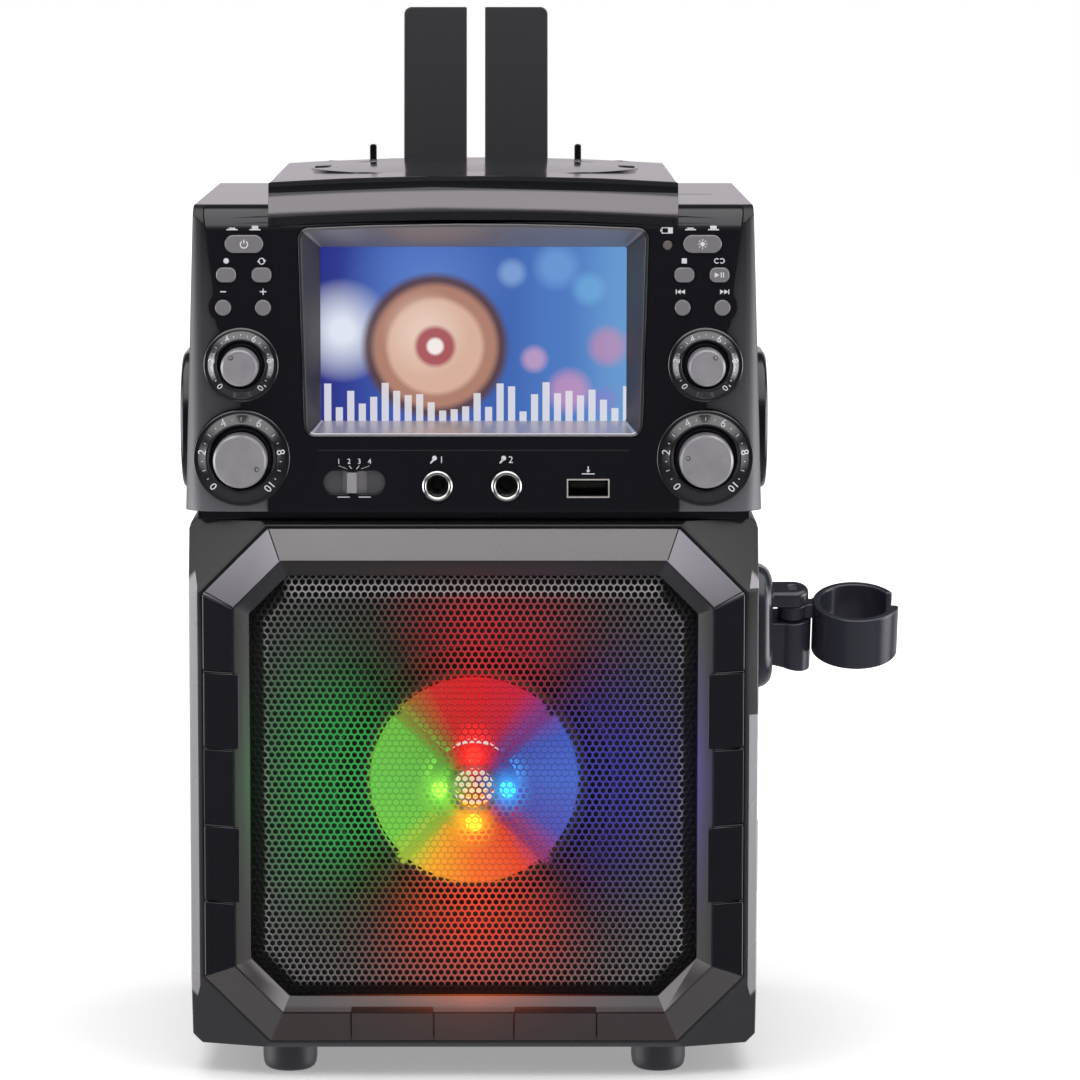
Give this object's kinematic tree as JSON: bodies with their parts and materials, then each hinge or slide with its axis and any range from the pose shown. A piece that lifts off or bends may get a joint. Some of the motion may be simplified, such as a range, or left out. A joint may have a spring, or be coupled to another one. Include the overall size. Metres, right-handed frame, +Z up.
{
  "type": "karaoke machine",
  "caption": "Portable karaoke machine: loudspeaker cabinet with lamp ring, control head with screen and knobs, hinged disc lid, tablet cradle and side microphone clip.",
  "frame": {"origin": "on the floor, midway between the feet", "axes": "+Z up, -Y towards the listener (front), +X to the listener's right"},
  "size_m": [0.2318, 0.1762, 0.3366],
  "materials": {
    "body_black": "moulded gloss black",
    "cheek_grey": "satin dark grey",
    "cabinet_grey": "fine-textured dark grey",
    "frame_silver": "satin silver-grey paint",
    "armour_black": "gloss blue-black",
    "grille_black": "satin black powder coat",
    "foot_black": "smooth",
    "chrome": "polished",
    "steel": "bright",
    "zinc": "zinc plated",
    "knob_silver": "satin silver paint",
    "button_silver": "satin silver paint",
    "bezel_grey": "satin graphite",
    "lens_clear": "clear",
    "display": "lit display",
    "lamp_clear": "clear domed",
    "lamp_green": "tinted",
    "paper_black": "pressed paper",
    "magnet": "ferrite",
    "board_green": "solder mask",
    "cell_wrap": "shrink wrap",
    "well_grey": "satin",
    "usb_blue": "nickel shell, blue tongue"
  },
  "bodies": {
    "case": {"cabinet_shell": "cabinet_grey", "cabinet_front": "cabinet_grey", "front_frame": "frame_silver", "side_armour": "armour_black", "speaker_grille": "grille_black", "rear_cover": "cabinet_grey", "rear_sockets": "body_black", "main_board": "board_green", "battery_pack": "cell_wrap", "feet": "foot_black", "speaker_basket": "steel", "speaker_magnet": "magnet", "speaker_surround": "foot_black", "light_module": "well_grey", "light_lamps": "lamp_clear", "head_base": "body_black", "head_front_housing": "cheek_grey", "head_rear_housing": "cheek_grey", "top_cover": "body_black", "disc_well": "well_grey", "deck_plate": "zinc", "guide_rods": "steel", "deck_motors": "zinc", "control_panel": "body_black", "dial_rings": "body_black", "screen_bezel": "bezel_grey", "screen_lens": "lens_clear", "lcd_module": "display", "pot_bodies": "zinc", "control_board": "board_green", "battery_indicator": "lamp_green", "mic_jacks": "chrome", "usb_socket": "usb_blue", "side_covers": "body_black", "mic_holder_base": "body_black", "mic_clip_pin": "steel", "case_screws": "zinc"},
    "lid": {"disc_lid": "body_black"},
    "clamp": {"disc_clamp": "well_grey"},
    "cradle": {"tablet_cradle": "cabinet_grey"},
    "clip": {"mic_clip": "body_black"},
    "turntable": {"turntable": "well_grey"},
    "pickup": {"optical_pickup": "well_grey"},
    "feed_screw": {"feed_screw": "steel"},
    "slider": {"function_slider": "body_black"},
    "cone": {"speaker_cone": "paper_black"},
    "echo_knob": {"echo_knob": "knob_silver"},
    "balance_knob": {"balance_knob": "knob_silver"},
    "mic_volume_knob": {"mic_volume_knob": "knob_silver"},
    "master_volume_knob": {"master_volume_knob": "knob_silver"},
    "power_button": {"power_button": "button_silver"},
    "record_button": {"record_button": "button_silver"},
    "program_button": {"program_button": "button_silver"},
    "page_down_button": {"page_down_button": "button_silver"},
    "page_up_button": {"page_up_button": "button_silver"},
    "lights_button": {"lights_button": "button_silver"},
    "stop_button": {"stop_button": "button_silver"},
    "play_button": {"play_button": "button_silver"},
    "previous_button": {"previous_button": "button_silver"},
    "next_button": {"next_button": "button_silver"}
  },
  "joints": [
    {"name": "power_press", "type": "slide", "parent": "case", "child": "power_button", "axis": [0, 1, 0], "range_m": [0, 0.0008], "stiffness_N_per_m": 600},
    {"name": "record_press", "type": "slide", "parent": "case", "child": "record_button", "axis": [0, 1, 0], "range_m": [0, 0.0008], "stiffness_N_per_m": 600},
    {"name": "program_press", "type": "slide", "parent": "case", "child": "program_button", "axis": [0, 1, 0], "range_m": [0, 0.0008], "stiffness_N_per_m": 600},
    {"name": "page_down_press", "type": "slide", "parent": "case", "child": "page_down_button", "axis": [0, 1, 0], "range_m": [0, 0.0008], "stiffness_N_per_m": 600},
    {"name": "page_up_press", "type": "slide", "parent": "case", "child": "page_up_button", "axis": [0, 1, 0], "range_m": [0, 0.0008], "stiffness_N_per_m": 600},
    {"name": "lights_press", "type": "slide", "parent": "case", "child": "lights_button", "axis": [0, 1, 0], "range_m": [0, 0.0008], "stiffness_N_per_m": 600},
    {"name": "stop_press", "type": "slide", "parent": "case", "child": "stop_button", "axis": [0, 1, 0], "range_m": [0, 0.0008], "stiffness_N_per_m": 600},
    {"name": "play_press", "type": "slide", "parent": "case", "child": "play_button", "axis": [0, 1, 0], "range_m": [0, 0.0008], "stiffness_N_per_m": 600},
    {"name": "previous_press", "type": "slide", "parent": "case", "child": "previous_button", "axis": [0, 1, 0], "range_m": [0, 0.0008], "stiffness_N_per_m": 600},
    {"name": "next_press", "type": "slide", "parent": "case", "child": "next_button", "axis": [0, 1, 0], "range_m": [0, 0.0008], "stiffness_N_per_m": 600},
    {"name": "echo_turn", "type": "hinge", "parent": "case", "child": "echo_knob", "pos_m": [-0.0723, -0.075, 0.2277], "axis": [0, -1, 0], "range_deg": [-140, 140]},
    {"name": "balance_turn", "type": "hinge", "parent": "case", "child": "balance_knob", "pos_m": [0.0723, -0.075, 0.2277], "axis": [0, -1, 0], "range_deg": [-140, 140]},
    {"name": "mic_volume_turn", "type": "hinge", "parent": "case", "child": "mic_volume_knob", "pos_m": [-0.0723, -0.075, 0.1986], "axis": [0, -1, 0], "range_deg": [-140, 140]},
    {"name": "master_volume_turn", "type": "hinge", "parent": "case", "child": "master_volume_knob", "pos_m": [0.0723, -0.075, 0.1986], "axis": [0, -1, 0], "range_deg": [-140, 140]},
    {"name": "function_slide", "type": "slide", "parent": "case", "child": "slider", "axis": [1, 0, 0], "range_m": [-0.00145, 0.0029]},
    {"name": "lid_hinge", "type": "hinge", "parent": "case", "child": "lid", "pos_m": [0, 0.0655, 0.2815], "axis": [-1, 0, 0], "range_deg": [0, 80]},
    {"name": "clamp_spin", "type": "hinge", "parent": "lid", "child": "clamp", "pos_m": [0, 0, 0.2862], "axis": [0, 0, 1], "continuous": true},
    {"name": "cradle_hinge", "type": "hinge", "parent": "case", "child": "cradle", "pos_m": [0, 0.075, 0.2723], "axis": [-1, 0, 0], "range_deg": [0, 165]},
    {"name": "clip_swivel", "type": "hinge", "parent": "case", "child": "clip", "pos_m": [0.1036, -0.013, 0.1425], "axis": [0, -0.342, 0.9397], "range_deg": [-60, 60]},
    {"name": "disc_spin", "type": "hinge", "parent": "case", "child": "turntable", "pos_m": [0, 0, 0.2724], "axis": [0, 0, 1], "continuous": true},
    {"name": "pickup_slide", "type": "slide", "parent": "case", "child": "pickup", "axis": [1, 0, 0], "range_m": [0, 0.032]},
    {"name": "screw_turn", "type": "hinge", "parent": "case", "child": "feed_screw", "pos_m": [0.03, 0.024, 0.26218], "axis": [1, 0, 0], "range_deg": [0, 3850]},
    {"name": "cone_travel", "type": "slide", "parent": "case", "child": "cone", "axis": [0, 1, 0], "range_m": [-0.0015, 0.0015], "stiffness_N_per_m": 2000}
  ],
  "couplings": [
    {"joint": "screw_turn", "follows": "pickup_slide", "rad_per_m": 2094.4}
  ]
}
